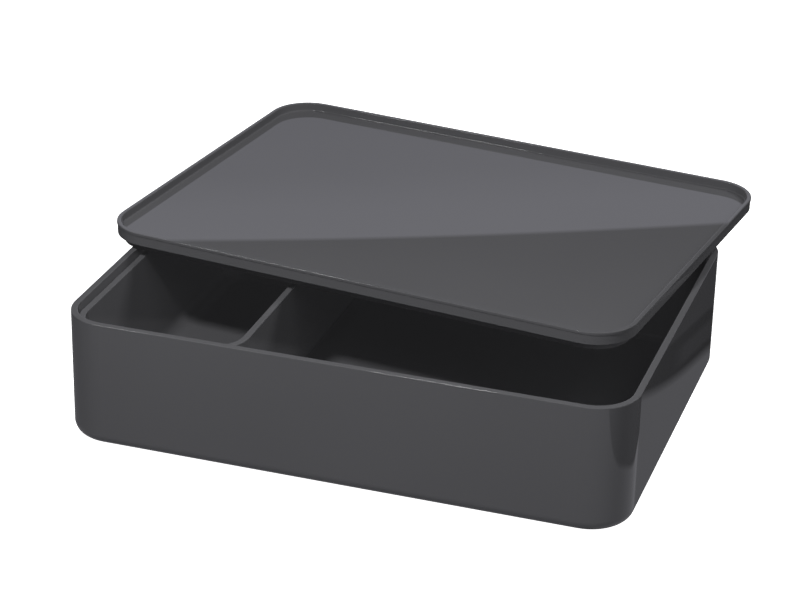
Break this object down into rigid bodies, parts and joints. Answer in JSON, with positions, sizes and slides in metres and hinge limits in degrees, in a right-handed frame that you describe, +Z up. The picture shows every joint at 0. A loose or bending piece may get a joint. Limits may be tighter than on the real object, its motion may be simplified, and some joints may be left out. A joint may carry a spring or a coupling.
{
  "type": "lidded desk storage box",
  "caption": "Low rectangular desk box with rounded corners, a lift-off lid with a recessed top lying askew on its rim, and a loose drafted tray that slides along its floor.",
  "frame": {"origin": "middle of the outer box's footprint, on the surface that the feet stand on", "axes": "+X to the right along the long front, +Y to the back, +Z up"},
  "size_m": [0.2879, 0.2789, 0.0732],
  "materials": {
    "box_plastic": "dark grey, glossy moulded plastic",
    "tray_plastic": "dark grey, glossy moulded plastic",
    "lid_plastic": "dark grey, glossy moulded plastic",
    "foot_rubber": "black, matt"
  },
  "bodies": {
    "box": {"outer_box": "box_plastic", "foot_front_left": "foot_rubber", "foot_front_right": "foot_rubber", "foot_back_left": "foot_rubber", "foot_back_right": "foot_rubber"},
    "tray": {"insert_tray": "tray_plastic"},
    "lid": {"lid": "lid_plastic"}
  },
  "joints": [
    {"name": "lid_lift", "type": "slide", "parent": "box", "child": "lid", "axis": [0, 0, 1], "range_m": [0, 0.12]},
    {"name": "tray_slide", "type": "slide", "parent": "box", "child": "tray", "axis": [1, 0, 0], "range_m": [0, 0.1795]}
  ]
}
